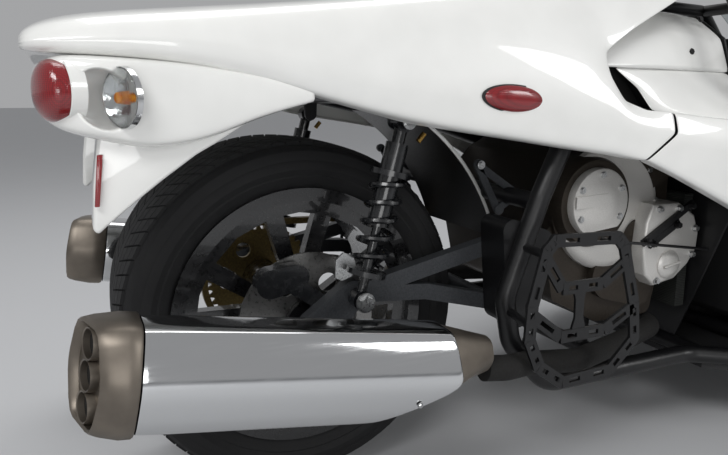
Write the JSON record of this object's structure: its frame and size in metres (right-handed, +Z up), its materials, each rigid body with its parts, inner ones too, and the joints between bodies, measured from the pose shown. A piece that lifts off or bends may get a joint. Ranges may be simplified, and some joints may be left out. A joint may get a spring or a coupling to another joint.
{
  "type": "three wheeled car",
  "caption": "Open three-wheeled sports car: tube frame, two side-by-side seats, roll cage, steered front wheels in cycle fenders and a wide rear wheel under a long tail cowl.",
  "frame": {"origin": "on the floor, under the middle of the car's length and width", "axes": "+X to the car's right, +Y forward, +Z up"},
  "size_m": [1.981, 3.5, 1.0669],
  "materials": {
    "body_white": "gloss",
    "frame_black": "satin",
    "arm_grey": "satin",
    "tyre_rubber": "matte",
    "rim_black": "gloss",
    "steel": "brushed",
    "caliper_black": "satin",
    "chrome": "polished",
    "heat_tint": "satin",
    "engine_alloy": "cast",
    "cover_silver": "satin",
    "shock_black": "satin",
    "seat_vinyl": "soft",
    "dash_black": "matte",
    "red_lens": "gloss",
    "clear_lens": "gloss",
    "screen": "gloss"
  },
  "bodies": {
    "chassis": {"bulkhead": "body_white", "clutch_cover": "cover_silver", "cockpit_frame": "frame_black", "dampers": "shock_black", "dashboard": "dash_black", "drive_chain": "steel", "engine_block": "engine_alloy", "exhaust_pipes": "heat_tint", "floor_tub": "dash_black", "headlamps": "clear_lens", "lower_arms": "arm_grey", "mirrors": "frame_black", "nose_cowl": "body_white", "nose_frame": "frame_black", "pannier_rack_left": "frame_black", "pannier_rack_right": "frame_black", "pedals": "steel", "rack_housing": "caliper_black", "radiator": "caliper_black", "rear_caliper": "caliper_black", "rear_fender_left": "body_white", "rear_fender_right": "body_white", "rear_frame": "frame_black", "roll_cage": "frame_black", "roof_panel": "body_white", "seat_left": "seat_vinyl", "seat_mounts": "dash_black", "seat_right": "seat_vinyl", "side_markers": "red_lens", "side_sill_left": "body_white", "side_sill_right": "body_white", "silencer_caps": "heat_tint", "silencer_left": "chrome", "silencer_right": "chrome", "springs": "shock_black", "steering_column": "frame_black", "swingarm": "arm_grey", "tail_cowl": "body_white", "tail_lamps": "red_lens", "turn_signals": "clear_lens", "upper_arms": "arm_grey", "wheel_guard": "body_white", "windscreen": "screen"},
    "rear_wheel": {"rear_tyre": "tyre_rubber", "rear_rim": "rim_black", "rear_disc": "steel", "rear_sprocket": "steel"},
    "knuckle_right": {"knuckle_right": "arm_grey", "front_fender_right": "body_white"},
    "knuckle_left": {"knuckle_left": "arm_grey", "front_fender_left": "body_white"},
    "front_wheel_right": {"front_tyre_right": "tyre_rubber", "front_rim_right": "rim_black", "front_disc_right": "steel"},
    "front_wheel_left": {"front_tyre_left": "tyre_rubber", "front_rim_left": "rim_black", "front_disc_left": "steel"},
    "steering_rack": {"steering_rack": "steel"},
    "steering_wheel": {"steering_wheel": "dash_black"}
  },
  "joints": [
    {"name": "rear_wheel_spin", "type": "hinge", "parent": "chassis", "child": "rear_wheel", "pos_m": [0, -1.31, 0.332], "axis": [-1, 0, 0], "continuous": true},
    {"name": "steer_right", "type": "hinge", "parent": "chassis", "child": "knuckle_right", "pos_m": [0.8125, 0.976, 0.2955], "axis": [0, 0, 1], "range_deg": [-28, 28]},
    {"name": "steer_left", "type": "hinge", "parent": "chassis", "child": "knuckle_left", "pos_m": [-0.8125, 0.976, 0.2955], "axis": [0, 0, 1], "range_deg": [-28, 28]},
    {"name": "front_wheel_right_spin", "type": "hinge", "parent": "knuckle_right", "child": "front_wheel_right", "pos_m": [0.8875, 0.976, 0.2955], "axis": [-1, 0, 0], "continuous": true},
    {"name": "front_wheel_left_spin", "type": "hinge", "parent": "knuckle_left", "child": "front_wheel_left", "pos_m": [-0.8875, 0.976, 0.2955], "axis": [-1, 0, 0], "continuous": true},
    {"name": "rack_slide", "type": "slide", "parent": "chassis", "child": "steering_rack", "axis": [1, 0, 0], "range_m": [-0.05635, 0.05635]},
    {"name": "steering_wheel_turn", "type": "hinge", "parent": "chassis", "child": "steering_wheel", "pos_m": [-0.225, 0.31, 0.64], "axis": [-0.1006, -0.8484, 0.5198], "range_deg": [-252, 252]}
  ],
  "couplings": [
    {"joint": "steer_left", "follows": "steer_right", "ratio": 1},
    {"joint": "rack_slide", "follows": "steer_right", "m_per_rad": 0.11528},
    {"joint": "steering_wheel_turn", "follows": "steer_right", "ratio": 9}
  ]
}
